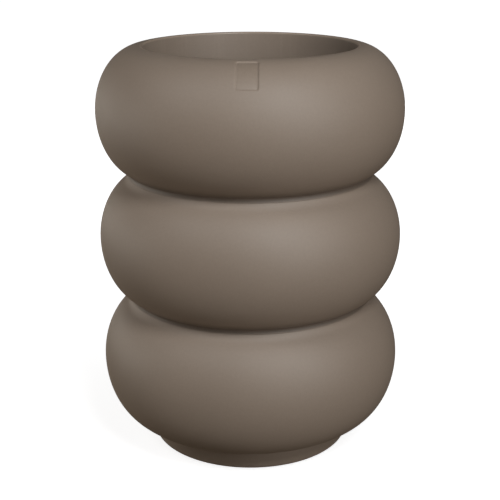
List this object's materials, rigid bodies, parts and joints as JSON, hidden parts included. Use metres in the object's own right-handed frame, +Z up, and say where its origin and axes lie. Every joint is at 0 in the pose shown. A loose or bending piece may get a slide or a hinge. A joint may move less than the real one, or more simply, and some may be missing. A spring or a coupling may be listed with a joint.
{
  "type": "tall plant pot",
  "caption": "Tall floor planter of stacked bulging rings on a short round foot, with a lift-out planting liner, soil grid and drain plug.",
  "frame": {"origin": "middle of the base, on the floor that the foot pads stand on", "axes": "+Z up, the badge under the rim faces -Y, +X is to the right seen from the badge's side"},
  "size_m": [0.39, 0.3898, 0.523],
  "materials": {
    "shell_plastic": "fine matte moulded grain, taupe brown",
    "badge_plastic": "smooth matte, taupe brown",
    "nut_steel": "bright spring steel",
    "pad_rubber": "matte black rubber",
    "plug_plastic": "fine matte, near black",
    "seal_rubber": "smooth black rubber",
    "liner_plastic": "satin, dark grey brown",
    "handle_plastic": "satin, dark grey brown",
    "grid_plastic": "fine matte, dark grey brown"
  },
  "bodies": {
    "shell": {"upper_ring": "shell_plastic", "middle_ring": "shell_plastic", "lower_ring": "shell_plastic", "foot_base": "shell_plastic", "badge_plate": "badge_plastic", "badge_push_nuts": "nut_steel", "foot_pad_front": "pad_rubber", "foot_pad_right": "pad_rubber", "foot_pad_back": "pad_rubber", "foot_pad_left": "pad_rubber"},
    "seal": {"plug_seal": "seal_rubber"},
    "plug": {"drain_plug": "plug_plastic"},
    "liner": {"planting_liner": "liner_plastic"},
    "left_handle": {"left_lift_handle": "handle_plastic"},
    "right_handle": {"right_lift_handle": "handle_plastic"},
    "grid": {"soil_grid": "grid_plastic"}
  },
  "joints": [
    {"name": "liner_lift", "type": "slide", "parent": "shell", "child": "liner", "axis": [0, 0, 1], "range_m": [0, 0.33]},
    {"name": "grid_lift", "type": "slide", "parent": "liner", "child": "grid", "axis": [0, 0, 1], "range_m": [0, 0.32]},
    {"name": "left_handle_swing", "type": "hinge", "parent": "liner", "child": "left_handle", "pos_m": [-0.073, 0, 0.4676], "axis": [0, 1, 0], "range_deg": [0, 95]},
    {"name": "right_handle_swing", "type": "hinge", "parent": "liner", "child": "right_handle", "pos_m": [0.073, 0, 0.4676], "axis": [0, -1, 0], "range_deg": [0, 95]},
    {"name": "plug_out", "type": "slide", "parent": "shell", "child": "seal", "axis": [0, 0, -1], "range_m": [0, 0.024]},
    {"name": "plug_turn", "type": "hinge", "parent": "seal", "child": "plug", "pos_m": [0, 0, 0.005], "axis": [0, 0, -1], "range_deg": [0, 2160]}
  ],
  "couplings": [
    {"joint": "plug_out", "follows": "plug_turn", "m_per_rad": 0.00063662}
  ]
}
